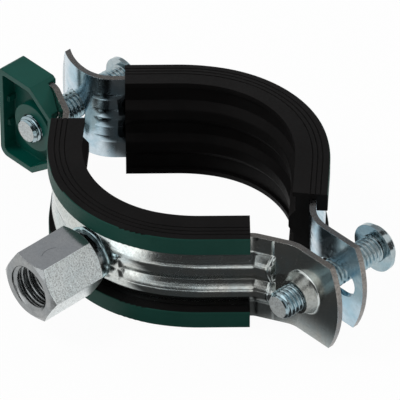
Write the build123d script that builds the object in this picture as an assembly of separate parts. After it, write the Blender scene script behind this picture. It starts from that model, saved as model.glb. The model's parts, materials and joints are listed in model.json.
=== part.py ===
from build123d import *
from math import acos, atan2, cos, degrees, hypot, radians, sin, tan
import os

# Rubber lined pipe clamp, two halves, drawn as it hangs open on its screws.
# Origin: pipe centre, middle of the strip's width.  X across the ears (+X = hinge screw side, -X = quick lock
# side), Y along the screws (-Y = connection nut side), Z along the pipe.  All lengths in millimetres.

# ---- pipe seat and rubber lining ----
RIB_R = 20.3            # crest of the two ribs that touch the pipe
RIB_H = 1.35            # rib height over the recess
WALL_T = 2.8            # rubber between recess and strip
GRIP = 0.05             # rubber to steel, all round the channel
RIB_Z = 4.1             # middle of a rib
RIB_W = 2.4             # flat crest of a rib
RIB_FLANK = 1.7         # axial run of a rib's sloping side
VALLEY_H = 0.3          # floor between the ribs over the recess
RIM_H = 0.6             # rims at the lining's edges over the recess
RIM_W = 1.1             # axial width of a rim
LIP_T = 2.2             # lip lying on the strip's outer face
LIP_REACH = 2.8         # how far the lip reaches in over the strip
EDGE_T = 1.55           # rubber over the strip's edge at the bore side
EDGE_FALL = 0.4         # the end face falls away to the outside by this
LINE_W = 0.3            # fine grooves in the end faces
LINE_DEEP = 0.22
LINE_STEP = 1.0
LINE_COUNT = 3
RIB_ROUND = 0.7
RIM_ROUND = 0.25

# ---- steel strip ----
STRIP_T = 1.25
STRIP_W = 20.0
BEAD_Z = 3.1            # crest of a bead from the middle
BEAD_H = 1.55           # crest over the flat margin
GROOVE_H = 0.65         # bottom of the middle groove over the flat margin
FOOT_Z = 6.6            # where the flat margin begins
CREST_R = 2.8
FOOT_R = 1.2
GROOVE_R = 0.4
NUT_SEAT_ANGLE = 16.0   # to this side angle the front groove is left out, for the nut to sit on
GROOVE_FADE = 2.5       # and within this many degrees more it has its full depth

# ---- plan of a half ----
NEAR_ANGLE = 32.0       # true pipe radius to this side angle
FAR_GROWTH = 8.0        # the radius grows by this beyond it
LEG_ANGLE = 47.2        # where the arc runs out in a straight leg
FRONT_SPARE = 0.3       # bare leg between the front lining and the bend, hinge side
FRONT_CREEP = 3.2       # the front lining stops this much shorter on the lock side
REAR_SPARE = 2.2        # bare leg between the rear lining and the bend
FRONT_BEND_R = 4.2      # leg to ramp
RAMP_ANGLE = 27.0
BEAD_SHARE = 0.54       # beads run over this part of the ramp
CREASE_SHARE = 0.09     # and are pressed flat within this part
EAR_BEND_R = 7.0
REAR_BEND_R = 9.0
RUN_OUT = 3.0           # rear beads fade over this length
FRONT_EAR_Y = 3.5       # ear's inner face from the pipe centre
REAR_EAR_Y = 3.1
SCREW_OUT = 13.0        # screw axis beyond the strip's inner radius; what follows is measured from that axis
EAR_LEAD = 1.2          # front ear lies flat from here, inside the axis
HINGE_EAR_OUT = 9.7     # tip of the front ear with the threaded collar
LOCK_EAR_OUT = 7.4      # tip of the front ear under the lock
SLOT_EAR_OUT = 8.6      # tip of the rear ear with the slot
CURL_EAR_OUT = 7.0      # tip of the rear ear that curls away
EAR_END_R = 22.0        # arc that ends an ear
CURL_R = 14.0
CURL_ANGLE = 30.0

# ---- holes and collar ----
THREAD_R = 2.95         # crest of the M6 thread
THREAD_RUN = 0.05       # radial play of the thread in a collar, washer or boss
COLLAR_H = 2.5
COLLAR_BASE_R = 4.7
COLLAR_MOUTH_R = 3.6
COLLAR_LEAD = 0.6
EAR_HOLE_R = 3.5
SLOT_OUT = 1.25         # slot's middle
SLOT_LONG = 10.3
SLOT_WIDE = 6.7

# ---- connection nut ----
NUT_FLATS = 13.0
NUT_LONG = 13.9
NUT_BACK = 1.8          # gap between strip crest and hexagon
NUT_NECK_R = 4.9
NUT_FRONT_FACE_R = 6.3
NUT_FRONT_FALL = 0.7
NUT_BACK_FACE_R = 5.7
NUT_BACK_FALL = 1.1
M10_CORE_R = 4.25
M10_MOUTH_R = 5.0
M10_DEEP = 7.0
M8_DEEP = NUT_LONG - M10_DEEP  # full M8 core, from where the M10 core ends to the hexagon's back
M8_CORE_R = 3.4
DRILL_ANGLE = 59.0      # half angle of the blind end
WELD_GAP = 0.02

# ---- screws and washers ----
HINGE_SEAT_Y = 14.6     # washer's underside
LOCK_SEAT_Y = 16.2      # lock screw's head, underside
HINGE_REACH = 26.3      # from there to the tip
LOCK_REACH = 26.2
TIP_CHAMFER = 0.6
WASHER_R = 5.15
WASHER_T = 1.0
HEAD_R = 4.4
HEAD_SIDE = 0.9
HEAD_H = 2.3
HEAD_CROWN_R = 1.3      # flat top of the head
HEAD_SEAT = 0.02        # head over washer
DRIVE_SLOT_W = 1.2
DRIVE_SLOT_DEEP = 1.2
CROSS_W = 1.3
CROSS_LONG = 4.6
CROSS_DEEP = 1.9

# ---- quick lock, X from the screw axis, Z from the strip's edge, Y from the ear's outer face ----
LOCK_END_OUT = 9.0      # outer face of the end wall
LOCK_EDGE_T = 0.85      # wall over the strip's edge
LOCK_FLAT_IN = 0.5      # top face ends here in the slanted face
LOCK_SIDE_IN = 6.9      # inner side of the box
LOCK_SLANT = 5.0        # the slanted face falls by this to that side
LOCK_DEEP = 4.35        # open front
LOCK_HOOK = 0.8         # hooked back, behind the ear
LOCK_WALL = 1.2
LOCK_FLOOR = 1.2
LOCK_PLAY = 0.05        # plastic to strip
HOOK_REACH = 0.8        # lips behind the ear
BOSS_R = 5.3
BOSS_H = 3.45
LOCK_ROUND = 2.0
LOCK_SMALL_ROUND = 0.8
LOCK_RIB_W = 1.4
LOCK_RIB_T = 0.5
LOCK_RIB_Z = 3.0

STRIP_R = RIB_R + RIB_H + WALL_T + GRIP     # inner face of the strip
RECESS_N = -(WALL_T + GRIP)                 # outward distances from that face
SCREW_X = STRIP_R + SCREW_OUT
EAR_FACE_Y = FRONT_EAR_Y + STRIP_T
LOCK_TOP_Z = STRIP_W / 2 + LOCK_PLAY + LOCK_EDGE_T


# ---- walking along the strip: a point on its inner face and a heading in degrees ----
def outward(heading):
    return Vector(sin(radians(heading)), -cos(radians(heading)), 0)


def along(heading):
    return Vector(cos(radians(heading)), sin(radians(heading)), 0)


def across(section, point, heading):
    """Stands a section (first axis outward from the strip's inner face, second axis Z) across the path."""
    return Plane(origin=point, x_dir=outward(heading), z_dir=along(heading) * -1) * section


def turned(section, point, heading, radius, turn):
    """Bends a section about an upright axis; radius is that of the strip's inner face."""
    side = 1 if turn > 0 else -1
    centre = point - outward(heading) * (radius * side)
    solid = revolve(across(section, point, heading), Axis(centre, (0, 0, side)), abs(turn))
    return solid, centre + outward(heading + turn) * (radius * side), heading + turn


def straight(section, point, heading, length):
    solid = extrude(across(section, point, heading), amount=length, dir=along(heading))
    return solid, point + along(heading) * length, heading


def blended(first, last, point, heading, length, turn=0):
    """Runs from one section to another; a small turn makes it a chord of the arc round the pipe."""
    end = outward(heading + turn) * STRIP_R if turn else point + along(heading) * length
    solid = loft([across(first, point, heading), across(last, end, heading + turn)], ruled=True)
    return solid, end, heading + turn


def wing(section, leg):
    """The opening part of the arc and the straight leg at the right; gives where the leg ends too."""
    start = outward(NEAR_ANGLE) * STRIP_R
    flare, point, heading = turned(section, start, NEAR_ANGLE, STRIP_R + FAR_GROWTH, LEG_ANGLE - NEAR_ANGLE)
    end, point, heading = straight(section, point, heading, leg)
    return flare + end, point, heading


def round_the_pipe(section):
    """The middle of the arc, which has the pipe's true radius."""
    arc, _, _ = turned(section, outward(-NEAR_ANGLE) * STRIP_R, -NEAR_ANGLE, STRIP_R, 2 * NEAR_ANGLE)
    return arc


def legs(section, right_leg, left_leg):
    """Both ends of the arc with their straight legs; gives the solids and where the right leg ends."""
    right, point, heading = wing(section, right_leg)
    left, _, _ = wing(section, left_leg)
    return right + mirror(left, Plane.YZ), point, heading


# ---- sections ----
def polar(n, z, radius, angle):
    return (n + radius * cos(radians(angle)), z + radius * sin(radians(angle)))


def flank_angle(run, rise, radii):
    """Slope of the line touching two opposed arcs whose crests lie run and rise apart."""
    drop = radii - rise
    return degrees(atan2(run, drop) - acos(radii / hypot(run, drop)))


def strip_face(offset):
    """Upper half of one face of the beaded strip, edge to middle, as (end point, middle of the arc to it)."""
    crest = CREST_R - STRIP_T + offset
    foot = FOOT_R + STRIP_T - offset
    groove = GROOVE_R + STRIP_T - offset
    crest_n = STRIP_T + BEAD_H - CREST_R
    foot_n = STRIP_T + FOOT_R
    groove_n = STRIP_T + GROOVE_H + GROOVE_R
    up = flank_angle(FOOT_Z - BEAD_Z, BEAD_H, CREST_R + FOOT_R)
    down = flank_angle(BEAD_Z, BEAD_H - GROOVE_H, CREST_R + GROOVE_R)
    return [
        ((offset, STRIP_W / 2), None),
        ((offset, FOOT_Z), None),
        (polar(foot_n, FOOT_Z, -foot, up), polar(foot_n, FOOT_Z, -foot, up / 2)),
        (polar(crest_n, BEAD_Z, crest, up), None),
        (polar(crest_n, BEAD_Z, crest, -down), (crest_n + crest, BEAD_Z)),
        (polar(groove_n, 0, -groove, -down), None),
        (polar(groove_n, 0, -groove, down), (groove_n - groove, 0)),
    ]


def flattened(face, offset):
    return [((offset, end[1]), None) for end, middle in face]


def ungrooved(face, offset):
    """The same face with the two beads run together into one flat-topped bead."""
    top = BEAD_H + offset
    crest = CREST_R - STRIP_T + offset
    up = flank_angle(FOOT_Z - BEAD_Z, BEAD_H, CREST_R + FOOT_R)
    shoulder = polar(top - crest, BEAD_Z, crest, up / 2)
    return face[:4] + [((top, BEAD_Z), shoulder), ((top, face[5][0][1]), None), ((top, face[6][0][1]), None)]


def face_edges(face):
    """Edges of a whole face of the strip, top to bottom."""
    edges = []
    last = len(face) - 1
    for i in range(1, last + 1):
        start, (end, middle) = face[i - 1][0], face[i]
        edges.append(ThreePointArc(start, middle, end) if middle else Line(start, end))
    for i in range(last - 1, 0, -1):
        start = (face[i][0][0], -face[i][0][1])
        end = (face[i - 1][0][0], -face[i - 1][0][1])
        middle = face[i][1]
        edges.append(ThreePointArc(start, (middle[0], -middle[1]), end) if middle else Line(start, end))
    return edges


def strip_section(shape=None):
    """The grooved pair of beads, or what shape makes of its two faces."""
    inner, outer = strip_face(0), strip_face(STRIP_T)
    if shape:
        inner, outer = shape(inner, 0), shape(outer, STRIP_T)
    edge = STRIP_W / 2
    ends = [Line((0, edge), (STRIP_T, edge)), Line((0, -edge), (STRIP_T, -edge))]
    return make_face(face_edges(inner) + face_edges(outer) + ends)


def block_section(inside, outside, height):
    return Polygon((inside, -height), (outside, -height), (outside, height), (inside, height), align=None)


def lining_section():
    """Channel round the strip's edge: two ribs and two rims to the pipe, lips over the strip's outer face."""
    crest = RECESS_N - RIB_H
    valley = RECESS_N - VALLEY_H
    rim = RECESS_N - RIM_H
    shelf = STRIP_W / 2 + GRIP
    top = shelf + EDGE_T
    lip_n = STRIP_T + GRIP
    outer = lip_n + LIP_T
    low = RIB_Z - RIB_W / 2
    high = RIB_Z + RIB_W / 2

    def end_face(n):
        return top - EDGE_FALL * (n - rim) / (outer - rim)

    upper = [
        (valley, low - RIB_FLANK),
        (crest, low),
        (crest, high),
        (RECESS_N, high + RIB_FLANK),
        (RECESS_N, top - RIM_W),
        (rim, top - RIM_W),
        (rim, top),
    ]
    for i in range(LINE_COUNT):
        n = outer - LINE_STEP * (LINE_COUNT + 0.5 - i)
        upper.append((n - LINE_W / 2, end_face(n)))
        upper.append((n, end_face(n) - LINE_DEEP))
        upper.append((n + LINE_W / 2, end_face(n)))
    upper += [
        (outer, end_face(outer)),
        (outer, shelf - LIP_REACH),
        (lip_n, shelf - LIP_REACH),
        (lip_n, shelf),
        (-GRIP, shelf),
    ]
    points = upper + [(n, -z) for n, z in reversed(upper)]
    section = Polygon(*points, align=None)
    near = 1e-4
    crests = section.vertices().filter_by(lambda v: abs(v.X - crest) < near)
    section = fillet(crests, RIB_ROUND)
    corners = section.vertices().filter_by(lambda v: abs(v.X - outer) < near)
    return fillet(corners, RIM_ROUND)


# ---- strip halves, drawn on the -Y side with the right ear at +X ----
def ear_end(solid, tip):
    disc = Pos(tip - EAR_END_R, 0, 0) * Rot(X=90) * Cylinder(EAR_END_R, 2 * STRIP_R)
    return solid & disc


def arc_end():
    """Where the arc round the pipe runs out, on the strip's inner face."""
    return outward(LEG_ANGLE) * (STRIP_R + FAR_GROWTH) - outward(NEAR_ANGLE) * FAR_GROWTH


def bend_step(radius, first, last):
    """Run and rise of a bend away from the pipe between two headings."""
    run = radius * (sin(radians(first)) - sin(radians(last)))
    return run, radius * (cos(radians(last)) - cos(radians(first)))


def front_lengths():
    """Leg and ramp that bring the front ear flat at its level, just inside the screw axis."""
    start = arc_end()
    knee_run, knee_rise = bend_step(FRONT_BEND_R, LEG_ANGLE, RAMP_ANGLE)
    ear_run, ear_rise = bend_step(EAR_BEND_R, RAMP_ANGLE, 0)
    run = SCREW_X - EAR_LEAD - start.X - knee_run - ear_run
    rise = -FRONT_EAR_Y - start.Y - knee_rise - ear_rise
    leg_turn, ramp_turn = radians(LEG_ANGLE), radians(RAMP_ANGLE)
    leg = (rise * cos(ramp_turn) - run * sin(ramp_turn)) / sin(leg_turn - ramp_turn)
    ramp = (run * sin(leg_turn) - rise * cos(leg_turn)) / sin(leg_turn - ramp_turn)
    return leg, ramp


def rear_leg():
    """Leg that brings the rear ear flat at its level."""
    _, rise = bend_step(REAR_BEND_R, LEG_ANGLE, 0)
    return (-REAR_EAR_Y - arc_end().Y - rise) / sin(radians(LEG_ANGLE))


def front_ramp(plain, beaded, point, heading, ramp, tip):
    """Leg's end to ear: bend, ramp on which the beads end in a crease, bend, ear."""
    bend, point, heading = turned(beaded, point, heading, FRONT_BEND_R, RAMP_ANGLE - LEG_ANGLE)
    run, point, heading = straight(beaded, point, heading, BEAD_SHARE * ramp)
    crease, point, heading = blended(beaded, plain, point, heading, CREASE_SHARE * ramp)
    rest, point, heading = straight(plain, point, heading, (1 - BEAD_SHARE - CREASE_SHARE) * ramp)
    knee, point, heading = turned(plain, point, heading, EAR_BEND_R, -RAMP_ANGLE)
    ear, _, _ = straight(plain, point, heading, tip - point.X)
    return bend + run + crease + rest + knee + ear_end(ear, tip)


def rear_bend(plain, beaded, point, heading, tip, curl):
    """Beads' end to ear in one easy bend; a curl carries the ear away from the other half."""
    fade, point, heading = blended(beaded, plain, point, heading, RUN_OUT)
    rest, point, heading = straight(plain, point, heading, REAR_SPARE - RUN_OUT / 2)
    knee, point, heading = turned(plain, point, heading, REAR_BEND_R, -LEG_ANGLE)
    if not curl:
        ear, _, _ = straight(plain, point, heading, tip - point.X)
        return fade + rest + knee + ear_end(ear, tip)
    bow, point, heading = turned(plain, point, heading, CURL_R, -curl)
    flap, _, _ = straight(plain, point, heading, tip - point.X + STRIP_T)
    return fade + rest + knee + ear_end(bow + flap, tip)


def screw_cylinder(radius, y_from, y_to):
    """Cylinder along Y on the right screw's axis."""
    low, high = min(y_from, y_to), max(y_from, y_to)
    return Pos(SCREW_X, (low + high) / 2, 0) * Rot(X=90) * Cylinder(radius, high - low)


def spun(points, x, rounds=None, radius=0):
    """Turns an (r, y) outline about the Y-parallel axis at x; vertices picked by rounds get a radius."""
    outline = Polygon(*points, align=None)
    if rounds:
        outline = fillet(outline.vertices().filter_by(rounds), radius)
    return Pos(x, 0, 0) * revolve(outline, Axis.Y, 360)


def threaded_collar():
    face = -EAR_FACE_Y
    mouth = face - COLLAR_H
    wall = spun(
        [
            (0, -FRONT_EAR_Y - STRIP_T / 2),
            (COLLAR_BASE_R + COLLAR_LEAD, -FRONT_EAR_Y - STRIP_T / 2),
            (COLLAR_BASE_R + COLLAR_LEAD, face),
            (COLLAR_BASE_R, face),
            (COLLAR_MOUTH_R, mouth),
            (0, mouth),
        ],
        SCREW_X,
        lambda v: abs(v.X - COLLAR_BASE_R) < 1e-4,
        COLLAR_LEAD,
    )
    core = THREAD_R + THREAD_RUN
    cut = spun(
        [
            (0, mouth - STRIP_T),
            (core, mouth - STRIP_T),
            (core, -FRONT_EAR_Y - COLLAR_LEAD),
            (core + COLLAR_LEAD, -FRONT_EAR_Y),
            (core + COLLAR_LEAD, 0),
            (0, 0),
        ],
        SCREW_X,
        lambda v: abs(v.X - core) < 1e-4 and v.Y > mouth,
        COLLAR_LEAD,
    )
    return wall, cut


def nut_seat(beaded):
    """The middle of the front arc: one flat-topped bead under the nut, which the groove leaves to both sides."""
    merged = strip_section(ungrooved)
    under, point, heading = turned(merged, outward(0) * STRIP_R, 0, STRIP_R, NUT_SEAT_ANGLE)
    fade, point, heading = blended(merged, beaded, point, heading, 0, GROOVE_FADE)
    rest, _, _ = turned(beaded, point, heading, STRIP_R, NEAR_ANGLE - heading)
    side = under + fade + rest
    return side + mirror(side, Plane.YZ)


def front_strip():
    plain, beaded = strip_section(flattened), strip_section()
    leg, ramp = front_lengths()
    ends, point, heading = legs(beaded, leg, leg)
    body = nut_seat(beaded) + ends
    right = front_ramp(plain, beaded, point, heading, ramp, SCREW_X + HINGE_EAR_OUT)
    wall, cut = threaded_collar()
    left = front_ramp(plain, beaded, point, heading, ramp, SCREW_X + LOCK_EAR_OUT)
    left -= screw_cylinder(EAR_HOLE_R, -STRIP_R, 0)
    return body + (right + wall - cut) + mirror(left, Plane.YZ)


def rear_strip():
    plain, beaded = strip_section(flattened), strip_section()
    beads_end = rear_leg() - REAR_SPARE - RUN_OUT / 2
    ends, point, heading = legs(beaded, beads_end, beads_end)
    body = round_the_pipe(beaded) + ends
    right = rear_bend(plain, beaded, point, heading, SCREW_X + SLOT_EAR_OUT, 0)
    slot = extrude(
        Plane.XZ * Pos(SCREW_X + SLOT_OUT, 0) * SlotOverall(SLOT_LONG, SLOT_WIDE), amount=STRIP_R
    )
    left = rear_bend(plain, beaded, point, heading, SCREW_X + CURL_EAR_OUT, CURL_ANGLE)
    left -= screw_cylinder(EAR_HOLE_R, -STRIP_R, 0)
    half = body + (right - slot) + mirror(left, Plane.YZ)
    return mirror(half, Plane.XZ)


# ---- connection nut ----
def connection_nut():
    crest_y = STRIP_R + STRIP_T + BEAD_H
    back = -(crest_y + NUT_BACK)
    front = back - NUT_LONG
    hexagon = RegularPolygon(NUT_FLATS / 2, 6, major_radius=False)
    bar = extrude(Plane(origin=(0, back, 0), x_dir=(1, 0, 0), z_dir=(0, -1, 0)) * hexagon, amount=NUT_LONG)
    corner = NUT_FLATS / 3 ** 0.5 + WELD_GAP
    turned_body = spun(
        [
            (0, front),
            (NUT_FRONT_FACE_R, front),
            (corner, front + NUT_FRONT_FALL),
            (corner, back - NUT_BACK_FALL),
            (NUT_BACK_FACE_R, back),
            (0, back),
        ],
        0,
    )
    neck = Pos(0, back + STRIP_T, 0) * Rot(X=90) * Cylinder(NUT_NECK_R, 2 * (NUT_BACK + STRIP_T))
    cores = spun(
        [
            (0, front - STRIP_T),
            (M10_MOUTH_R, front - STRIP_T),
            (M10_MOUTH_R, front),
            (M10_CORE_R, front + M10_MOUTH_R - M10_CORE_R),
            (M10_CORE_R, front + M10_DEEP),
            (M8_CORE_R, front + M10_DEEP + M10_CORE_R - M8_CORE_R),
            (M8_CORE_R, front + M10_DEEP + M8_DEEP),
            (0, front + M10_DEEP + M8_DEEP + M8_CORE_R / tan(radians(DRILL_ANGLE))),
        ],
        0,
    )
    return (bar & turned_body) + neck - saddle() - cores


def saddle():
    """Solid disc bounded by the strip's outer face under the nut, a weld gap proud of it."""
    seat = ungrooved(strip_face(STRIP_T), STRIP_T)
    edges = face_edges([((n + WELD_GAP, z), (m[0] + WELD_GAP, m[1]) if m else None) for (n, z), m in seat])
    edge = STRIP_W / 2
    outer = STRIP_T + WELD_GAP
    edges += [
        Line((outer, edge), (-STRIP_R / 2, edge)),
        Line((-STRIP_R / 2, edge), (-STRIP_R / 2, -edge)),
        Line((-STRIP_R / 2, -edge), (outer, -edge)),
    ]
    section = across(make_face(edges), outward(-NEAR_ANGLE) * STRIP_R, -NEAR_ANGLE)
    return revolve(section, Axis.Z, 2 * NEAR_ANGLE)


# ---- screws and washer, drawn at +X with the head towards +Y ----
def screw(head_y, tip):
    """Pan head from head_y, slotted and crossed, on a shank drawn at its thread's crest."""
    top = head_y + HEAD_H
    dome = head_y + HEAD_SIDE
    outline = make_face(
        [
            Line((0, tip), (THREAD_R - TIP_CHAMFER, tip)),
            Line((THREAD_R - TIP_CHAMFER, tip), (THREAD_R, tip + TIP_CHAMFER)),
            Line((THREAD_R, tip + TIP_CHAMFER), (THREAD_R, head_y)),
            Line((THREAD_R, head_y), (HEAD_R, head_y)),
            Line((HEAD_R, head_y), (HEAD_R, dome)),
            TangentArc((HEAD_CROWN_R, top), (HEAD_R, dome), tangent=(1, 0)),
            Line((HEAD_CROWN_R, top), (0, top)),
            Line((0, top), (0, tip)),
        ]
    )
    blank = Pos(SCREW_X, 0, 0) * revolve(outline, Axis.Y, 360)
    slot = Pos(SCREW_X, top, 0) * Box(DRIVE_SLOT_W, 2 * DRIVE_SLOT_DEEP, 3 * HEAD_R)
    cross = Pos(SCREW_X, top, 0) * Box(CROSS_LONG, 2 * CROSS_DEEP, CROSS_W)
    cross += Pos(SCREW_X, top, 0) * Box(CROSS_W, 2 * CROSS_DEEP, CROSS_LONG)
    return blank - slot - cross


def washer():
    bore = THREAD_R + THREAD_RUN
    ring = [
        (bore, HINGE_SEAT_Y),
        (WASHER_R, HINGE_SEAT_Y),
        (WASHER_R, HINGE_SEAT_Y + WASHER_T),
        (bore, HINGE_SEAT_Y + WASHER_T),
    ]
    return spun(ring, SCREW_X)


# ---- quick lock, drawn at +X and mirrored ----
def lock_outline(inset):
    """Box outline in X and Z, drawn in from the outer faces by inset."""
    dx = LOCK_FLAT_IN - LOCK_SIDE_IN
    dz = -LOCK_SLANT
    slant = hypot(dx, dz)
    top = LOCK_TOP_Z - inset
    side = SCREW_X - LOCK_SIDE_IN + inset
    nx, nz = dz / slant, -dx / slant
    on_x, on_z = SCREW_X - LOCK_FLAT_IN - nx * inset, LOCK_TOP_Z - nz * inset
    top_x = on_x + (top - on_z) * dx / dz
    side_z = on_z + (side - on_x) * dz / dx
    out = SCREW_X + LOCK_END_OUT - inset
    outline = Polygon(
        (out, -top), (out, top), (top_x, top), (side, side_z), (side, -side_z), (top_x, -top), align=None
    )
    outer = outline.vertices().filter_by(lambda v: v.X > out - 1e-4 and v.Y < 0)
    outline = fillet(outer, LOCK_ROUND - inset / 2)
    small = outline.vertices().filter_by(lambda v: v.X > out - 1e-4 and v.Y > 0)
    return fillet(small, LOCK_SMALL_ROUND - inset / 4)


def lock_prism(outline, y_from, y_to):
    base = Plane(origin=(0, y_to, 0), x_dir=(1, 0, 0), z_dir=(0, -1, 0))
    return extrude(base * outline, amount=y_to - y_from)


def quick_lock():
    """Open box hooked over the ear, with a boss that grips the lock screw."""
    rim = EAR_FACE_Y + LOCK_DEEP
    hook_end = FRONT_EAR_Y - LOCK_HOOK
    ear_face = EAR_FACE_Y + LOCK_PLAY
    ear_back = FRONT_EAR_Y - LOCK_PLAY
    floor = ear_face + LOCK_FLOOR
    shelf = STRIP_W / 2 + LOCK_PLAY
    ear_tip = SCREW_X + LOCK_EAR_OUT + LOCK_PLAY
    behind_tip = ear_tip - HOOK_REACH
    body = lock_prism(lock_outline(0), -rim, -hook_end)
    body -= lock_prism(lock_outline(LOCK_WALL), -rim - LOCK_WALL, -floor)
    body -= Pos(ear_tip / 2, -(ear_face + ear_back) / 2, 0) * Box(ear_tip, ear_face - ear_back, 2 * shelf)
    body -= Pos(behind_tip / 2, -ear_back / 2, 0) * Box(behind_tip, ear_back, 2 * (shelf - HOOK_REACH))
    body += screw_cylinder(BOSS_R, -EAR_FACE_Y - BOSS_H, -floor)
    rib_x = SCREW_X + LOCK_END_OUT - LOCK_WALL - LOCK_RIB_T / 2
    rib_y = -(rim - LOCK_WALL + floor) / 2
    for side in (-1, 1):
        body += Pos(rib_x, rib_y, side * LOCK_RIB_Z) * Box(LOCK_RIB_T, rim - LOCK_WALL - floor, LOCK_RIB_W)
    body -= screw_cylinder(THREAD_R + THREAD_RUN, -STRIP_R, 0)
    return mirror(body - ramp_room(), Plane.YZ)


def ramp_room():
    """Room the front strip's ramp takes, with the lock's play."""
    room = block_section(-STRIP_R / 2, STRIP_T + LOCK_PLAY, STRIP_W)
    beads = block_section(-STRIP_R / 2, STRIP_T + BEAD_H + LOCK_PLAY, FOOT_Z)
    leg, ramp = front_lengths()
    _, point, heading = wing(room, leg)
    _, point, heading = turned(beads, point, heading, FRONT_BEND_R, RAMP_ANGLE - LEG_ANGLE)
    bead_part, _, _ = straight(beads, point, heading, (BEAD_SHARE + CREASE_SHARE) * ramp)
    whole, point, heading = straight(room, point, heading, ramp)
    knee, _, _ = turned(room, point, heading, EAR_BEND_R, -RAMP_ANGLE)
    return bead_part + whole + knee


# ---- linings ----
def lining(right_leg, left_leg):
    section = lining_section()
    ends, _, _ = legs(section, right_leg, left_leg)
    return round_the_pipe(section) + ends


def save(node, shape):
    export_step(shape, "parts/" + node + ".step")
    box = shape.bounding_box()
    print(node, len(shape.solids()), round(shape.volume, 1), box.min, box.max)


os.makedirs("parts", exist_ok=True)
front_leg = front_lengths()[0] - FRONT_SPARE
rear_end = rear_leg() - REAR_SPARE
save("front_band", front_strip())
save("rear_band", rear_strip())
save("front_lining", lining(front_leg, front_leg - FRONT_CREEP))
save("rear_lining", mirror(lining(rear_end, rear_end), Plane.XZ))
save("connection_nut", connection_nut())
save("hinge_screw", screw(HINGE_SEAT_Y + WASHER_T + HEAD_SEAT, HINGE_SEAT_Y - HINGE_REACH))
save("hinge_washer", washer())
save("lock_screw", mirror(screw(LOCK_SEAT_Y, LOCK_SEAT_Y - LOCK_REACH), Plane.YZ))
save("quick_lock", quick_lock())
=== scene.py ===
# %% [markdown]
# # Rubber lined pipe clamp
# Two pressed steel half-rings hold a pipe in rubber. The front half carries a welded hexagonal nut for a
# threaded rod; the rear half is drawn onto it by two screws, one of which snaps into a green plastic
# lock. The CAD frame gives every piece its place and size. What the CAD leaves plain is made here: real
# screw threads, the cut threads inside the nut, the green stripe that is moulded into the rubber, the
# weld, and every surface.

# %% Load the frame
import json
import math
import bmesh
import bpy
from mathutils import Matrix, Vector

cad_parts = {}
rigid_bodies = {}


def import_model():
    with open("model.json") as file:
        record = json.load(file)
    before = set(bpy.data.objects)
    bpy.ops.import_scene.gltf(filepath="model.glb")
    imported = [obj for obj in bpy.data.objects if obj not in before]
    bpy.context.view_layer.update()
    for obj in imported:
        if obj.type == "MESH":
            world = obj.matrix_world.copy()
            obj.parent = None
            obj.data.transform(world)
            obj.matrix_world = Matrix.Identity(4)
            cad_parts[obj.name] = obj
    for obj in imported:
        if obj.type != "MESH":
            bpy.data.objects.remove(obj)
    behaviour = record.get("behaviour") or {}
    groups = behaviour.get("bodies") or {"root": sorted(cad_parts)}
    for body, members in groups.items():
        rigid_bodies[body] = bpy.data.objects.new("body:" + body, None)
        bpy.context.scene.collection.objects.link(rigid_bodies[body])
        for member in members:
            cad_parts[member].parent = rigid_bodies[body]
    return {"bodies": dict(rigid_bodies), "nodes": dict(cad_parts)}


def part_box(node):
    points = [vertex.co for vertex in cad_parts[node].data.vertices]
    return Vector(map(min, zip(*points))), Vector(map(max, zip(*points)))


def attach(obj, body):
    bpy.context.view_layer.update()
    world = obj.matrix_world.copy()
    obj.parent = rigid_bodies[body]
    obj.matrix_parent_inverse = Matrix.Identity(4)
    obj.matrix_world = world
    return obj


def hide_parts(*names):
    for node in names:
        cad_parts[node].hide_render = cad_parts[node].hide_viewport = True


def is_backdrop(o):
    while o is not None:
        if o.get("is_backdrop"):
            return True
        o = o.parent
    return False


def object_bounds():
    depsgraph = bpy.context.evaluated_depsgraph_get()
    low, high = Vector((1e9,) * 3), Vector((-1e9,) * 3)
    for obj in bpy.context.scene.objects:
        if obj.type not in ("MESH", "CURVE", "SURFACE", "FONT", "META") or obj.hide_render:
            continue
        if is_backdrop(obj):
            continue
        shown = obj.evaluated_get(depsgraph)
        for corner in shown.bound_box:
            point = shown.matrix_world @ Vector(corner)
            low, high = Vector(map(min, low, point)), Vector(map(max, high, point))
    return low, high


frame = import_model()
scene = bpy.context.scene
MM = 0.001      # Blender works in metres, and this turns the millimetres below into them


def corners():
    """The lowest and the highest corner of all that is there, as plain lists."""
    lo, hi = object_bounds()
    return [[float(x) for x in lo], [float(x) for x in hi]]


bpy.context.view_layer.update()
print("nodes:", ", ".join(sorted(frame["nodes"])))

# %% [markdown]
# ## Camera
# Small parts are shown nearly without perspective, so that their lengths compare. An orthographic camera
# would do that, but it looks stiff. A long lens about a metre away keeps a trace of depth. It stands
# above and to the right of the nut. Its place and its turn are worked out from two angles, which are
# easier to read and to change than a matrix.

# %% Camera
AZIMUTH = math.radians(46.49)       # from the nut's side towards the hinge screw
ELEVATION = math.radians(38.70)
DISTANCE = 1.0
FRAME_PX = 400.0                    # width and height of the square frame
FOCAL_PX = 4999.95                  # the lens, in widths of one pixel of that frame
ORIGIN_PX = (190.37, 192.99)        # where the frame shows the point that the camera is set out from
Y_SHIFT = 0.5 * MM                  # that point lies this far along Y from the pipe's centre
SENSOR_MM = 36.0

back = Vector((
    math.sin(AZIMUTH) * math.cos(ELEVATION),
    -math.cos(AZIMUTH) * math.cos(ELEVATION),
    math.sin(ELEVATION),
))
right = Vector((math.cos(AZIMUTH), math.sin(AZIMUTH), 0.0))
up = back.cross(right)
aim_x = (ORIGIN_PX[0] - FRAME_PX / 2) / FOCAL_PX * DISTANCE
aim_y = -(ORIGIN_PX[1] - FRAME_PX / 2) / FOCAL_PX * DISTANCE

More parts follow.
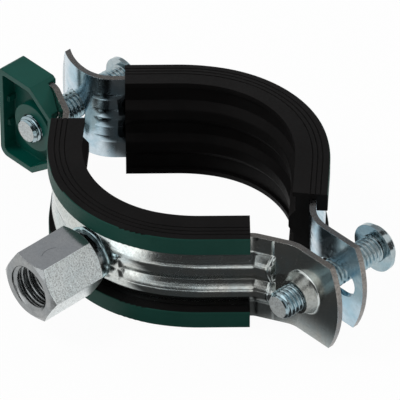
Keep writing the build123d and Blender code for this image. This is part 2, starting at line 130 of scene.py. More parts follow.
lens = bpy.data.cameras.new("camera")
lens.sensor_width = SENSOR_MM
lens.lens = SENSOR_MM * FOCAL_PX / FRAME_PX
lens.clip_start = 0.05
lens.clip_end = 20.0
camera = bpy.data.objects.new("camera", lens)
scene.collection.objects.link(camera)
camera.location = -(right * aim_x + up * aim_y - back * DISTANCE) + Vector((0, Y_SHIFT, 0))
camera.rotation_mode = "QUATERNION"
camera.rotation_quaternion = back.to_track_quat("Z", "Y")
scene.camera = camera
scene.view_settings.view_transform = "Standard"
print("camera at", [round(c, 3) for c in camera.location], "lens", round(lens.lens, 1), "mm")

# %% [markdown]
# ## Nodes in a few words
# A material in Blender is a tree of nodes. It can be drawn by hand in the shader editor, but a script
# that spells out every node is hard to read. So one function adds any node and wires its inputs, and the
# few below it say in one word what most of the nodes in this file do: reckon, shift a range, mix colours,
# make noise.

# %% Node helpers


def node(tree, kind, sockets=None, **attributes):
    """Adds a node. A socket is linked when its value is the output of another node, and else just set."""
    made = tree.nodes.new(kind)
    for key, value in attributes.items():
        setattr(made, key, value)
    for key, value in (sockets or {}).items():
        if isinstance(value, bpy.types.NodeSocket):
            tree.links.new(value, made.inputs[key])
        else:
            made.inputs[key].default_value = value
    return made


def empty_tree(owner, output_kind):
    """The cleared node tree of a material or a world, and its output node."""
    owner.use_nodes = True
    tree = owner.node_tree
    tree.nodes.clear()
    return tree, tree.nodes.new(output_kind)


def material(name):
    """A new material with one Principled shader."""
    mat = bpy.data.materials.new(name)
    tree, out = empty_tree(mat, "ShaderNodeOutputMaterial")
    shader = node(tree, "ShaderNodeBsdfPrincipled")
    tree.links.new(shader.outputs["BSDF"], out.inputs["Surface"])
    return mat, tree, shader


def reckon(tree, operation, *values):
    """One step of arithmetic, such as ADD or MULTIPLY, on sockets or plain numbers."""
    return node(tree, "ShaderNodeMath", dict(enumerate(values)), operation=operation).outputs["Value"]


def shift_range(tree, value, source, target, smooth=False):
    """Maps the source range onto the target range and stops at its ends."""
    sockets = {"Value": value, "From Min": source[0], "From Max": source[1],
               "To Min": target[0], "To Max": target[1]}
    kind = "SMOOTHSTEP" if smooth else "LINEAR"
    return node(tree, "ShaderNodeMapRange", sockets, interpolation_type=kind).outputs["Result"]


def ramp(tree, value, *stops):
    """Turns a value into a grey by two stops, each a place and the grey there."""
    made = node(tree, "ShaderNodeValToRGB", {"Fac": value})
    for element, (place, grey) in zip(made.color_ramp.elements, stops):
        element.position = place
        element.color = (grey, grey, grey, 1)
    return made.outputs["Color"]


def opaque(colour):
    """A colour's three numbers with full cover added, as a socket wants them."""
    return (*colour, 1)


def mix_colours(tree, share, first, second):
    """Goes from the first colour to the second as the share goes from 0 to 1."""
    sockets = {"Factor": share, "A": first, "B": second}
    return node(tree, "ShaderNodeMix", sockets, data_type="RGBA").outputs["Result"]


def own_place(tree):
    """Where a point lies in metres, in axes that move with its piece, so that no mark slides over it."""
    return node(tree, "ShaderNodeTexCoord").outputs["Object"]


def stretched_place(tree, scale=(1.0, 1.0, 1.0), turn=0.0):
    """The same place, stretched and turned about Z, which draws a noise out into lines."""
    sockets = {"Vector": own_place(tree), "Scale": scale, "Rotation": (0.0, 0.0, turn)}
    return node(tree, "ShaderNodeMapping", sockets).outputs["Vector"]


def noise(tree, place, scale, detail=4.0, rough=0.55, distortion=0.0):
    """Cloudy noise from 0 to 1; scale counts its waves per metre."""
    sockets = {"Vector": place, "Scale": scale, "Detail": detail, "Roughness": rough,
               "Distortion": distortion}
    return node(tree, "ShaderNodeTexNoise", sockets).outputs["Fac"]


def bump(tree, height, strength, distance, normal):
    """Tilts the shading normal as if the surface had this height."""
    sockets = {"Height": height, "Strength": strength, "Distance": distance, "Normal": normal}
    return node(tree, "ShaderNodeBump", sockets).outputs["Normal"]


def round_edge(tree, radius):
    """Rounds the shading of sharp edges, so that they catch light as worn edges do."""
    return node(tree, "ShaderNodeBevel", {"Radius": radius}, samples=4).outputs["Normal"]


helpers = (node, material, reckon, shift_range, ramp, mix_colours, noise, bump, round_edge)
print("node helpers:", ", ".join(helper.__name__ for helper in helpers))

# %% [markdown]
# ## Marks of the press
# The press leaves the flat flanks of the two beads slightly fuller than drawn, and on the front half a
# fine crease crosses the strip where the tool lets go. Both are about a tenth of a millimetre high. They
# could be pulled out of the mesh, but the CAD faces are long strips with no points between their edges,
# and cutting them finely enough would make a heavy mesh of a plain bend. A height in the material bends
# the highlights just the same, and stays inside the true outline.

# %% Marks of the press
FLANKS = ((1.2 * MM, 1.1 * MM), (5.3 * MM, 0.8 * MM))   # middle of each flank along Z, and half its width
BOW = 0.09                                              # height of the bow, in half widths
BOW_FADES = (32.5 * MM, 30.5 * MM)                      # along X, nil at the first and full at the second
CREASE_X = 31.05 * MM
CREASE_REACH = 0.28 * MM
CREASE_TALL = 0.14 * MM


def flank_bow(tree, across_strip, middle, half):
    """Height of one bowed flank: a parabola across it."""
    off = reckon(tree, "SUBTRACT", across_strip, middle)
    share = reckon(tree, "DIVIDE", off, half)
    square = reckon(tree, "MULTIPLY", share, share)
    return shift_range(tree, square, (0.0, 1.0), (BOW * half, 0.0))


def press_marks(tree, creased):
    """Height in metres of the bowed flanks, which fade out before the ears, and of the crease."""
    place = node(tree, "ShaderNodeSeparateXYZ", {0: own_place(tree)})
    across_strip = reckon(tree, "ABSOLUTE", place.outputs["Z"])
    along_strip = reckon(tree, "ABSOLUTE", place.outputs["X"])
    bows = [flank_bow(tree, across_strip, middle, half) for middle, half in FLANKS]
    on_beads = shift_range(tree, along_strip, BOW_FADES, (0.0, 1.0), smooth=True)
    height = reckon(tree, "MULTIPLY", reckon(tree, "ADD", *bows), on_beads)
    if not creased:
        return height
    off = reckon(tree, "ABSOLUTE", reckon(tree, "SUBTRACT", along_strip, CREASE_X))
    ridge = shift_range(tree, off, (0.0, CREASE_REACH), (CREASE_TALL, 0.0), smooth=True)
    return reckon(tree, "ADD", height, ridge)


print("bow of the flanks up to", round(BOW * FLANKS[0][1] / MM, 2), "mm")

# %% [markdown]
# ## Bright zinc
# The strip is rolled steel, pressed and then zinc plated. The plating is thin, so the rolling lines still
# show as a faint grain round the ring. Fine scratches and small dull spots come from barrel plating, in
# which the parts tumble against each other. A scanned texture would need unwrapping and repeats; noise
# that is worked out in place runs over every bend without a seam. One function makes all the finishes:
# `tone` and `blue` are the two colours of the clear passivation, which drift into each other in patches,
# and `mottle`, `specks`, `crisp` and `dark` say how fine, strong, sharp and dark the dull spots are. The
# half that carries the nut is neutral and the loose half came out of the bath bluer, so they have
# finishes of their own.

# %% Zinc recipe
PATCHES = 130.0             # colour patches per metre, each about 8 mm
GRAIN = 900.0               # waves of grain per metre, before they are stretched
GRAIN_SHARE = 0.6           # how much of the bump is grain beside the dull spots
GRAIN_DEPTH = 0.04 * MM
SPOT_LEVEL = 0.53           # a spot stands where the speck noise rises past this
SCRATCH_WAVES = 60.0        # waves per metre, of which only the troughs are scratches
SCRATCH_BENDS = 22.0        # how far the waves wander
SCRATCH_BELOW = 0.004       # a scratch is where the wave is lower than this
SCRATCH_ROUGHER = 0.08
SCRATCH_DEEP = 0.12


def zinc_scratches(tree):
    """Thin wandering lines: 1 on a scratch and 0 beside it."""
    sockets = {"Vector": stretched_place(tree, turn=0.7), "Scale": SCRATCH_WAVES,
               "Distortion": SCRATCH_BENDS, "Detail": 4.0, "Detail Scale": 2.4}
    wave = node(tree, "ShaderNodeTexWave", sockets, wave_type="BANDS")
    return ramp(tree, wave.outputs["Fac"], (0.0, 1.0), (SCRATCH_BELOW, 0.0))


def zinc_colour(tree, speck, tone, blue, specks, crisp, dark):
    """The two passivation colours in patches, with dull spots on top."""
    patch = noise(tree, own_place(tree), PATCHES, detail=3.0, rough=0.6, distortion=0.6)
    tint = mix_colours(tree, ramp(tree, patch, (0.38, 0.0), (0.66, 1.0)), opaque(tone), opaque(blue))
    spot = ramp(tree, speck, (SPOT_LEVEL - crisp, 0.0), (SPOT_LEVEL + crisp, specks))
    return mix_colours(tree, spot, tint, opaque(dark * part for part in tone))


def zinc(name, tone, blue, grain, grain_bump, mottle, specks, rough, edge, crisp=0.13, dark=0.55,
         metallic=1.0, pressed=False, creased=False):
    """A zinc finish; rough is its smoothest and roughest, and edge the radius its edges seem to have."""
    mat, tree, shader = material(name)
    speck = noise(tree, own_place(tree), mottle, detail=6.0, rough=0.7)
    scratch = zinc_scratches(tree)
    lines = noise(tree, stretched_place(tree, grain), GRAIN, detail=3.0, rough=0.6)
    worn = shift_range(tree, speck, (0.3, 0.75), rough)
    roughness = reckon(tree, "MULTIPLY_ADD", scratch, SCRATCH_ROUGHER, worn)
    uneven = reckon(tree, "MULTIPLY_ADD", lines, GRAIN_SHARE, speck)
    height = reckon(tree, "MULTIPLY_ADD", scratch, -SCRATCH_DEEP, uneven)
    normal = round_edge(tree, edge)
    if pressed:
        normal = bump(tree, press_marks(tree, creased), strength=1.0, distance=1.0, normal=normal)
    shader.inputs["Metallic"].default_value = metallic
    tree.links.new(zinc_colour(tree, speck, tone, blue, specks, crisp, dark), shader.inputs["Base Color"])
    tree.links.new(roughness, shader.inputs["Roughness"])
    tree.links.new(bump(tree, height, grain_bump, GRAIN_DEPTH, normal), shader.inputs["Normal"])
    return mat


print("colour patches of about", round(1 / PATCHES / MM, 1), "mm")

# %% Zinc finishes
ROLLED = (0.25, 0.25, 2.5)      # grain in lines round the ring, fine across the strip
EVEN = (1.0, 1.0, 1.0)

zinc_front = zinc(
    "zinc_front", tone=(0.62, 0.64, 0.61), blue=(0.53, 0.61, 0.62), grain=ROLLED, grain_bump=0.22,
    mottle=1900.0, specks=0.40, rough=(0.11, 0.24), edge=0.14 * MM, crisp=0.09, pressed=True, creased=True)
zinc_rear = zinc(
    "zinc_rear", tone=(0.58, 0.68, 0.74), blue=(0.36, 0.54, 0.64), grain=ROLLED, grain_bump=0.12,
    mottle=900.0, specks=0.30, rough=(0.12, 0.26), edge=0.14 * MM, pressed=True)
zinc_sheared = zinc(
    "zinc_sheared", tone=(0.27, 0.25, 0.23), blue=(0.19, 0.20, 0.21), grain=(3.0, 3.0, 0.2), grain_bump=1.0,
    mottle=1800.0, specks=0.8, rough=(0.18, 0.36), edge=0.10 * MM, crisp=0.08)
zinc_drawn = zinc(
    "zinc_drawn", tone=(0.40, 0.41, 0.38), blue=(0.30, 0.33, 0.33), grain=(2.0, 0.3, 2.0), grain_bump=0.5,
    mottle=1500.0, specks=0.6, rough=(0.14, 0.34), edge=0.12 * MM, crisp=0.08)
zinc_screw = zinc(
    "zinc_screw", tone=(0.42, 0.49, 0.51), blue=(0.26, 0.40, 0.46), grain=EVEN, grain_bump=0.12,
    mottle=1400.0, specks=0.35, rough=(0.08, 0.20), edge=0.10 * MM)
zinc_tip = zinc(
    "zinc_tip", tone=(0.62, 0.65, 0.64), blue=(0.50, 0.55, 0.56), grain=(2.0, 2.0, 2.0), grain_bump=1.0,
    mottle=2200.0, specks=0.8, rough=(0.36, 0.52), edge=0.10 * MM, crisp=0.06, metallic=0.35)
zinc_nut = zinc(
    "zinc_nut", tone=(0.88, 0.92, 0.91), blue=(0.78, 0.86, 0.87), grain=(1.0, 2.5, 0.5), grain_bump=0.6,
    mottle=3100.0, specks=0.9, rough=(0.24, 0.42), edge=0.18 * MM, crisp=0.07, dark=0.48)
# The flat that looks up: a smoother copy of the nut's zinc, darker in tone than the sides, which is painted
# shade
zinc_nut_top = zinc(
    "zinc_nut_top", tone=(0.66, 0.67, 0.68), blue=(0.60, 0.62, 0.64), grain=(0.5, 0.5, 2.0),
    grain_bump=0.15, mottle=1500.0, specks=0.25, rough=(0.09, 0.20), edge=0.18 * MM)
zinc_turned = zinc(
    "zinc_turned", tone=(0.33, 0.34, 0.34), blue=(0.26, 0.28, 0.29), grain=(1.0, 2.5, 1.0), grain_bump=0.15,
    mottle=1500.0, specks=0.5, rough=(0.16, 0.28), edge=0.22 * MM)
zinc_weld = zinc(
    "zinc_weld", tone=(0.52, 0.68, 0.70), blue=(0.42, 0.58, 0.62), grain=EVEN, grain_bump=0.5,
    mottle=1500.0, specks=0.4, rough=(0.22, 0.40), edge=0.10 * MM)
print("zinc finishes:", ", ".join(m.name for m in bpy.data.materials if m.name.startswith("zinc")))

# %% [markdown]
# ## The scratch on the nut
# The flat that looks up carries one curved scratch, as a neighbour's edge leaves it when nuts slide over
# each other. It could be cut into the mesh as a groove, but that would be finer than any face of the nut.
# Distance from a point gives a clean arc instead: the colour is darkened where that distance is close to
# the arc's radius.

# %% Scratch
SCRATCH_CENTRE = (2.7 * MM, -37.75 * MM, 0.0)
SCRATCH_R = 3.05 * MM
SCRATCH_END = 0.3 * MM          # it stops where X passes this
SCRATCH_HALF = 0.12 * MM        # half its width
SCRATCH_DARK = 0.75
BARE_STEEL = (0.10, 0.10, 0.11)


def scratch_arc(mat):
    """Darkens an arc on a face that looks up."""
    tree = mat.node_tree
    shader = next(n for n in tree.nodes if n.type == "BSDF_PRINCIPLED")
    place = own_place(tree)
    flat = node(tree, "ShaderNodeVectorMath", {0: place, 1: (1, 1, 0)}, operation="MULTIPLY")
    away = node(tree, "ShaderNodeVectorMath", {0: flat.outputs["Vector"], 1: SCRATCH_CENTRE},
                operation="DISTANCE")
    off = reckon(tree, "ABSOLUTE", reckon(tree, "SUBTRACT", away.outputs["Value"], SCRATCH_R))
    line = shift_range(tree, off, (0.0, SCRATCH_HALF), (SCRATCH_DARK, 0.0))
    side = node(tree, "ShaderNodeSeparateXYZ", {0: place})
    ends = reckon(tree, "LESS_THAN", side.outputs["X"], SCRATCH_END)
    plated = shader.inputs["Base Color"].links[0].from_socket
    scratched = mix_colours(tree, reckon(tree, "MULTIPLY", line, ends), plated, opaque(BARE_STEEL))
    tree.links.new(scratched, shader.inputs["Base Color"])


scratch_arc(zinc_nut_top)
print("scratch of", round(SCRATCH_R / MM, 2), "mm radius on", zinc_nut_top.name)

# %% [markdown]
# ## Dressing and copying the CAD's pieces
# The CAD's own objects are never changed. A piece that only needs a finish keeps its CAD object and is
# dressed in a material, as the washer under the hinge screw's head is. A piece whose faces need sorting,
# smoothing or cutting away gets a copy of the mesh, which then stands in for the node and moves with the
# same body.

# %% CAD helpers


def dress(node_name, mat):
    """Gives a CAD object one material all over."""
    data = frame["nodes"][node_name].data
    for i in range(len(data.materials)):
        data.materials[i] = mat
    if not data.materials:
        data.materials.append(mat)


def body_of(node_name):
    """The name of the body that a CAD node moves with."""
    for body, empty in frame["bodies"].items():
        if frame["nodes"][node_name].parent == empty:
            return body
    return "root"


def copy_of(node_name, name, mats):
    """A new object with the CAD node's shape."""
    data = frame["nodes"][node_name].data.copy()
    data.name = name
    data.materials.clear()
    for mat in mats:
        data.materials.append(mat)
    obj = bpy.data.objects.new(name, data)
    scene.collection.objects.link(obj)
    return obj


dress("hinge_washer", zinc_screw)
print("hinge_washer moves with", body_of("hinge_washer"))

# %% [markdown]
# ## Strip halves
# Each half is one strip, sheared to width and pressed into two beads, and the front one is also drawn out
# into a collar for the hinge screw. The flat faces keep the bright plating, the sheared edges are rougher
# and browner, and the stretched wall of the collar is duller. These three could be painted by a mask in
# one material, but a face's own direction and place already say which it is, so the faces are simply
# sorted into three materials. The beads come from the CAD as facets, and `soften` shades them as the
# round forms they are.

# %% Strip halves
SCREW_X = 37.5 * MM             # both screws' axes
STRIP_EDGE = 9.9 * MM           # the long edges lie past this Z
EAR_TIP = 43.0 * MM             # the ears' ends lie past this X
COLLAR_R = 5.6 * MM
COLLAR_FROM = -5.1 * MM         # the collar stands out past this Y
SAME_POINT = 0.002 * MM         # points closer than this are one
BEAD_CREASE = 62                # degrees: only edges sharper than this stay hard
BRIGHT, SHEARED, DRAWN = 0, 1, 2


def soften(obj, crease):
    """Shades the facets that meet at less than the crease angle, in degrees, as one surface."""
    work = bmesh.new()
    work.from_mesh(obj.data)
    bmesh.ops.remove_doubles(work, verts=work.verts, dist=SAME_POINT)
    work.to_mesh(obj.data)
    work.free()
    if "custom_normal" in obj.data.attributes:
        obj.data.attributes.remove(obj.data.attributes["custom_normal"])
    obj.data.shade_smooth()
    obj.data.set_sharp_from_angle(angle=math.radians(crease))
    even = obj.modifiers.new("even", "WEIGHTED_NORMAL")
    even.keep_sharp = True
    even.weight = 80


def is_sheared(poly):
    """True on the strip's long edges and on the ends of its ears."""
    across = abs(poly.normal.z) > 0.9 and abs(poly.center.z) > STRIP_EDGE
    tip = abs(poly.normal.x) > 0.7 and abs(poly.center.x) > EAR_TIP
    return across or tip


def on_collar(poly):
    """True on the drawn collar round the hinge screw's hole."""
    away = math.hypot(poly.center.x - SCREW_X, poly.center.z)
    return away < COLLAR_R and poly.center.y < COLLAR_FROM


for node_name, bright in (("front_band", zinc_front), ("rear_band", zinc_rear)):
    band = copy_of(node_name, node_name + "_plated", [bright, zinc_sheared, zinc_drawn])
    soften(band, BEAD_CREASE)
    for poly in band.data.polygons:
        poly.material_index = SHEARED if is_sheared(poly) else DRAWN if on_collar(poly) else BRIGHT
    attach(band, body_of(node_name))
    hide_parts(node_name)
    print(band.name, sum(p.material_index == SHEARED for p in band.data.polygons), "sheared faces")

# %% [markdown]
# ## Rubber and plastic
# The lining is one extrusion of two rubbers: a black body and a thin dark green skin on the outer lips.
# Both are matt, with the fine chatter that a die leaves. The lock is moulded polypropylene: satin, with a
# slightly uneven skin. All three are the same recipe in other measures, so one function makes them: two
# close colours that drift, a roughness that wavers, a fine bump, and rounded edges. The specular level is
# low, because a finely chattered skin mirrors less than the shader's smooth default.

# %% Rubber and plastic
DRIFTS = 90.0               # drifts of colour per metre
CHATTER_DEPTH = 0.05 * MM


def soft_finish(name, colour, pale, rough, grain, grain_bump, edge, specular):
    """A matt or satin finish for rubber and plastic; grain is its fineness per metre."""
    mat, tree, shader = material(name)
    broad = noise(tree, own_place(tree), DRIFTS, detail=3.0)
    fine = noise(tree, own_place(tree), grain, detail=5.0, rough=0.65)
    drift = ramp(tree, broad, (0.35, 0.0), (0.75, 1.0))
    tree.links.new(mix_colours(tree, drift, opaque(colour), opaque(pale)), shader.inputs["Base Color"])
    tree.links.new(shift_range(tree, fine, (0.3, 0.7), rough), shader.inputs["Roughness"])
    normal = bump(tree, fine, grain_bump, CHATTER_DEPTH, round_edge(tree, edge))
    tree.links.new(normal, shader.inputs["Normal"])
    shader.inputs["Specular IOR Level"].default_value = specular
    return mat


rubber_black = soft_finish(
    "rubber_black", colour=(0.0045, 0.0041, 0.0041), pale=(0.0070, 0.0064, 0.0064), rough=(0.48, 0.66),
    grain=1800.0, grain_bump=0.30, edge=0.15 * MM, specular=0.08)
rubber_green = soft_finish(
    "rubber_green", colour=(0.004, 0.047, 0.034), pale=(0.007, 0.058, 0.044), rough=(0.42, 0.60),
    grain=1800.0, grain_bump=0.30, edge=0.15 * MM, specular=0.18)
plastic_green = soft_finish(
    "plastic_green", colour=(0.0005, 0.058, 0.043), pale=(0.001, 0.074, 0.056), rough=(0.34, 0.46),
    grain=700.0, grain_bump=0.12, edge=0.30 * MM, specular=0.25)
dress("quick_lock", plastic_green)
print("soft finishes:", rubber_black.name, rubber_green.name, plastic_green.name)

# %% [markdown]
# ## Linings with their green skin
# The two rubbers are extruded together, so the skin is no piece of its own and the boundary is a sharp
# line. A second thin mesh laid over the lip would flicker against it. Instead each face of the lining is
# sorted by its distance outward from the strip's inner surface, since the skin lies only on the outward
# face of each lip. That surface follows the pipe's radius to 32 degrees, opens on a larger radius to 47.2
# degrees and runs out straight, and `outward_distance` follows it through the three stretches.

# %% Linings
STRIP_R = 24.5 * MM             # the strip's inner surface round the pipe
GROWN_R = 32.5 * MM             # and where it opens towards the ears
ROUND_TO = math.radians(32.0)
OPEN_TO = math.radians(47.2)
SKIN_FROM = 3.36 * MM           # the skin starts this far outside that surface


def outward_distance(x, y):
    """How far a point lies outside the strip's inner surface, in either half."""
    x, y = abs(x), abs(y)
    if math.atan2(x, y) <= ROUND_TO:
        return math.hypot(x, y) - STRIP_R
    dx = x - (STRIP_R - GROWN_R) * math.sin(ROUND_TO)
    dy = y - (STRIP_R - GROWN_R) * math.cos(ROUND_TO)
    if math.atan2(dx, dy) <= OPEN_TO:
        return math.hypot(dx, dy) - GROWN_R
    return dx * math.sin(OPEN_TO) + dy * math.cos(OPEN_TO) - GROWN_R


for node_name in ("front_lining", "rear_lining"):
    lining = copy_of(node_name, node_name + "_two_colour", [rubber_black, rubber_green])
    far_out = [outward_distance(v.co.x, v.co.y) > SKIN_FROM for v in lining.data.vertices]
    for poly in lining.data.polygons:
        poly.material_index = int(all(far_out[i] for i in poly.vertices))
    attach(lining, body_of(node_name))
    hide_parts(node_name)
    green = sum(poly.material_index for poly in lining.data.polygons)
    print(lining.name, len(lining.data.polygons), "faces,", green, "of them green")

# %% [markdown]
# ## Threads
# A metric thread is a groove with flanks about 60 degrees apart that climbs one pitch to a turn. A Screw
# modifier can sweep such a profile, but then its ends are ragged. Here the thread is one sheet wrapped
# round the axis in rows, and each point's radius follows the profile at its own phase: how far along it
# is in pitches, plus how far round it is in turns. Such a sheet can run out over a taper at its end, as
# real threads do.

# %% Threads
CREST_SHARE = 0.16          # share of half a pitch that the crest takes
FLANK_SHARE = 0.66          # share that the flank takes; the rest is root
FLANK_EASE = 0.35           # how much of the flank is an S-curve instead of a straight line
RUN_OUT = 0.1 * MM          # how far below its root a thread runs out at a screw's tip
TAPER = 0.75 * MM           # length of the run-out on a screw's tip and in a nut's mouth


def mesh_object(name, verts, faces, mats):
    """A smooth object made of these points and faces."""
    data = bpy.data.meshes.new(name)
    data.from_pydata(verts, [], faces)
    data.update()
    obj = bpy.data.objects.new(name, data)
    scene.collection.objects.link(obj)
    for mat in mats:
        data.materials.append(mat)
    for poly in data.polygons:
        poly.use_smooth = True
    return obj


def thread_radius(phase, crest, root):
    """Crest and root joined by flanks with eased ends; phase runs from 0 to 1 in each turn."""
    off_crest = abs(phase % 1.0 - 0.5) * 2.0
    flank = min(max((off_crest - CREST_SHARE) / FLANK_SHARE, 0.0), 1.0)
    flank = flank * flank * (3 - 2 * flank) * FLANK_EASE + flank * (1 - FLANK_EASE)
    return crest + (root - crest) * flank


def run_out(radius, step, crest, root, inside):
    """The radius at a step from a tapered end: smaller on a screw's tip, larger in a hole's mouth."""
    if inside:
        return max(radius, crest + (TAPER - step))
    return min(radius, root - RUN_OUT + (crest - root + RUN_OUT) * step / TAPER)


def threaded_tube(name, x, y_from, y_to, thread, mats, tapered=False, inside=False, capped=False,
                  per_turn=12, around=44):
    """A threaded surface round the line at x that is parallel to Y; thread is its crest, root and pitch.

    Only the end at y_from can be tapered or capped. The cap takes the last of the materials."""
    crest, root, pitch = thread
    rows = int(abs(y_to - y_from) / pitch * per_turn)
    verts, faces = [], []
    for i in range(rows + 1):
        y = y_from + (y_to - y_from) * i / rows
        for j in range(around):
            angle = 2 * math.pi * j / around
            radius = thread_radius(y / pitch + j / around, crest, root)
            if tapered and abs(y - y_from) < TAPER:
                radius = run_out(radius, abs(y - y_from), crest, root, inside)
            verts.append((x + radius * math.cos(angle), y, radius * math.sin(angle)))
    for i in range(rows):
        for j in range(around):
            k = (j + 1) % around
            quad = (i * around + j, i * around + k, (i + 1) * around + k, (i + 1) * around + j)
            faces.append(quad if inside else quad[::-1])
    if capped:
        rim = len(verts)
        verts += verts[:around] + [(x, y_from, 0.0)]
        for j in range(around):
            faces.append((rim + (j + 1) % around, rim + j, rim + around))
    obj = mesh_object(name, verts, faces, mats)
    for poly in obj.data.polygons[rows * around:]:
        poly.material_index = len(mats) - 1
    return obj


print("threads run out over", round(TAPER / MM, 2), "mm")

# %% [markdown]
# ## Screws
# The machine screws have an M6 thread rolled over the whole shank, 1 mm to a turn, and a blunt tip that
# was cropped and is rougher than the rest. The whole screw could be remade, but the head with its slot
# and cross is already right in the CAD. So the head is a copy from which the plain shank is cut away, and
# the thread takes the shank's place, a hair's breadth into the head so that no gap shows.

# %% Screws
HEAD_TALL = 2.3 * MM
INTO_HEAD = 0.05 * MM           # the thread reaches this far into the head
M6 = (2.95 * MM, 2.42 * MM, 1.0 * MM)       # crest and root radius, pitch
RADIUS_SLACK = 0.02 * MM        # room for rounding when faces are picked by radius
SEAT_SLACK = 0.001 * MM         # and by height


def cut_faces(obj, unwanted):
    """Deletes the faces for which unwanted is true, and says how many there were."""
    work = bmesh.new()
    work.from_mesh(obj.data)
    doomed = [face for face in work.faces if unwanted(face)]
    bmesh.ops.delete(work, geom=doomed, context="FACES")
    work.to_mesh(obj.data)
    work.free()
    return len(doomed)


def threaded_screw(node_name, x):
    """Splits a CAD screw into its own head and a threaded shank."""
    low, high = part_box(node_name)
    seat = high.y - HEAD_TALL

    def on_shank(face):
        below = all(v.co.y < seat + SEAT_SLACK for v in face.verts)
        return below and all(math.hypot(v.co.x - x, v.co.z) < M6[0] + RADIUS_SLACK for v in face.verts)

    head = copy_of(node_name, node_name + "_head", [zinc_screw])
    for poly in head.data.polygons:
        poly.material_index = 0
    gone = cut_faces(head, on_shank)
    shank = threaded_tube(node_name + "_thread", x, low.y, seat + INTO_HEAD, M6, [zinc_screw, zinc_tip],
                          tapered=True, capped=True)
    for piece in (head, shank):
        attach(piece, body_of(node_name))
        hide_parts(node_name)
    print(node_name, "thread faces", len(shank.data.polygons), "plain faces cut away", gone)


threaded_screw("hinge_screw", SCREW_X)
threaded_screw("lock_screw", -SCREW_X)

# %% [markdown]
# ## Connection nut
# The nut is turned from hexagonal bar and tapped twice: M10 from the mouth and M8 behind it, so that it
# takes either rod. The hexagon is the CAD one, with a bright, smooth flat on top, mottled flats on the
# sides and a turned face. The flat on top is also darker in tone than the sides. The flats of a bar are all
# alike, so that difference is painted shade on the top and painted light on the sides. Cutting threads out
# of the nut with a Boolean would leave slivers along every flank. So its plain cores and the chamfer of its
# mouth are cut away, and the two tapped threads are set in as sheets of their own. A cone joins the two
# threads, a ring is the shoulder behind the second, and a cone closes the drilled hole.

# %% Nut's sizes and helpers
NUT_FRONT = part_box("connection_nut")[0].y
M10 = (4.25 * MM, 4.95 * MM, 1.5 * MM)      # core and outer radius, pitch
M8 = (3.4 * MM, 3.95 * MM, 1.25 * MM)
M10_END = NUT_FRONT + 7.0 * MM
M8_START = NUT_FRONT + 7.85 * MM
M8_END = NUT_FRONT + 13.85 * MM
DRILL_END = NUT_FRONT + 15.85 * MM
DRILL_TIP_R = 0.01 * MM
BORES_R = 5.2 * MM              # the faces within this radius are bores
MOUTH_R = 5.01 * MM             # the CAD's chamfer lies within this radius
MOUTH_DEEP = 0.76 * MM          # and this deep
CORE_R = 4.26 * MM              # the plain cores lie within this radius
FLAT_SIDE, FLAT_TOP, TURNED = 0, 1, 2


def nut_finish(poly):
    """Which of the nut's three finishes a face has; the flat that looks up takes the darker copy, which is
    painted shade.
    """
    end_or_chamfer = abs(poly.normal.y) > 0.05
    if end_or_chamfer or math.hypot(poly.center.x, poly.center.z) < BORES_R:
        return TURNED
    return FLAT_TOP if poly.normal.z > 0.9 else FLAT_SIDE


def makes_way(face):
    """True on the nut's plain cores and on the chamfer of its mouth."""
    radii = [math.hypot(v.co.x, v.co.z) for v in face.verts]
    in_mouth = all(v.co.y < NUT_FRONT + MOUTH_DEEP for v in face.verts)
    chamfer = abs(face.normal.y) < 0.9 and max(radii) < MOUTH_R and in_mouth
    return max(radii) < CORE_R or chamfer


def cone_ring(name, y_a, r_a, y_b, r_b, around=56):
    """A band between two circles round the nut's axis."""
    verts, faces = [], []
    for y, r in ((y_a, r_a), (y_b, r_b)):
        for j in range(around):
            angle = 2 * math.pi * j / around
            verts.append((r * math.cos(angle), y, r * math.sin(angle)))
    for j in range(around):
        k = (j + 1) % around
        faces.append((j, k, around + k, around + j))
    return mesh_object(name, verts, faces, [zinc_nut])


print("threads in the nut: M10 from", round(NUT_FRONT / MM, 2), "to", round(M10_END / MM, 2), "mm along Y")

# %% Nut
nut = copy_of("connection_nut", "connection_nut_body", [zinc_nut, zinc_nut_top, zinc_turned])
for poly in nut.data.polygons:
    poly.material_index = nut_finish(poly)
gone = cut_faces(nut, makes_way)
m10 = threaded_tube("m10_thread", 0.0, NUT_FRONT, M10_END, M10, [zinc_turned], tapered=True, inside=True,
                    per_turn=20, around=72)
m8 = threaded_tube("m8_thread", 0.0, M8_START, M8_END, M8, [zinc_turned], inside=True, around=48)
step = cone_ring("tapping_step", M10_END, M10[1], M8_START, M8[0])
shoulder = cone_ring("drill_shoulder", M8_END, M8[1], M8_END, M8[0])
drilled = cone_ring("drill_point", M8_END, M8[0], DRILL_END, DRILL_TIP_R)
for piece in (nut, m10, m8, step, shoulder, drilled):
    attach(piece, body_of("connection_nut"))
    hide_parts("connection_nut")
print("nut: plain faces cut away", gone, "thread faces", len(m10.data.polygons) + len(m8.data.polygons))

# %% [markdown]
# ## Weld
# The nut's neck is fused to the strip by a narrow uneven bead, and a drop of spatter lies beside it. The
# bead could be a torus with a noise on it, but the seat under the nut is curved, and a flat ring would
# float over it or sink in. So both are laid on `seat_y`, the strip's own surface there. The bead swells
# by two sine waves, 11 and 17 to the turn, so that no two of its lumps are alike.

# %% Weld's sizes and helpers
SEAT_R = 27.3 * MM              # radius of the flat-topped seat under the nut
SEAT_HALF = 3.1 * MM            # half its width
SEAT_EDGE_R = 2.8 * MM          # its rounded shoulders
SEAT_EDGE_REACH = 1.5 * MM
BEAD_R = 4.9 * MM + 0.25 * MM   # the nut's neck, and the bead's middle outside it
BEAD_THICK = 0.55 * MM
BEAD_RISE = 0.8                 # height of the bead in thicknesses
DROP_PLACE = (6.9 * MM, 3.0 * MM)       # X and Z beside the nut
DROP_SIZE = 0.75 * MM
DROP_RISE = 0.6                 # height of the drop in sizes
DROP_SUNK = 0.05 * MM


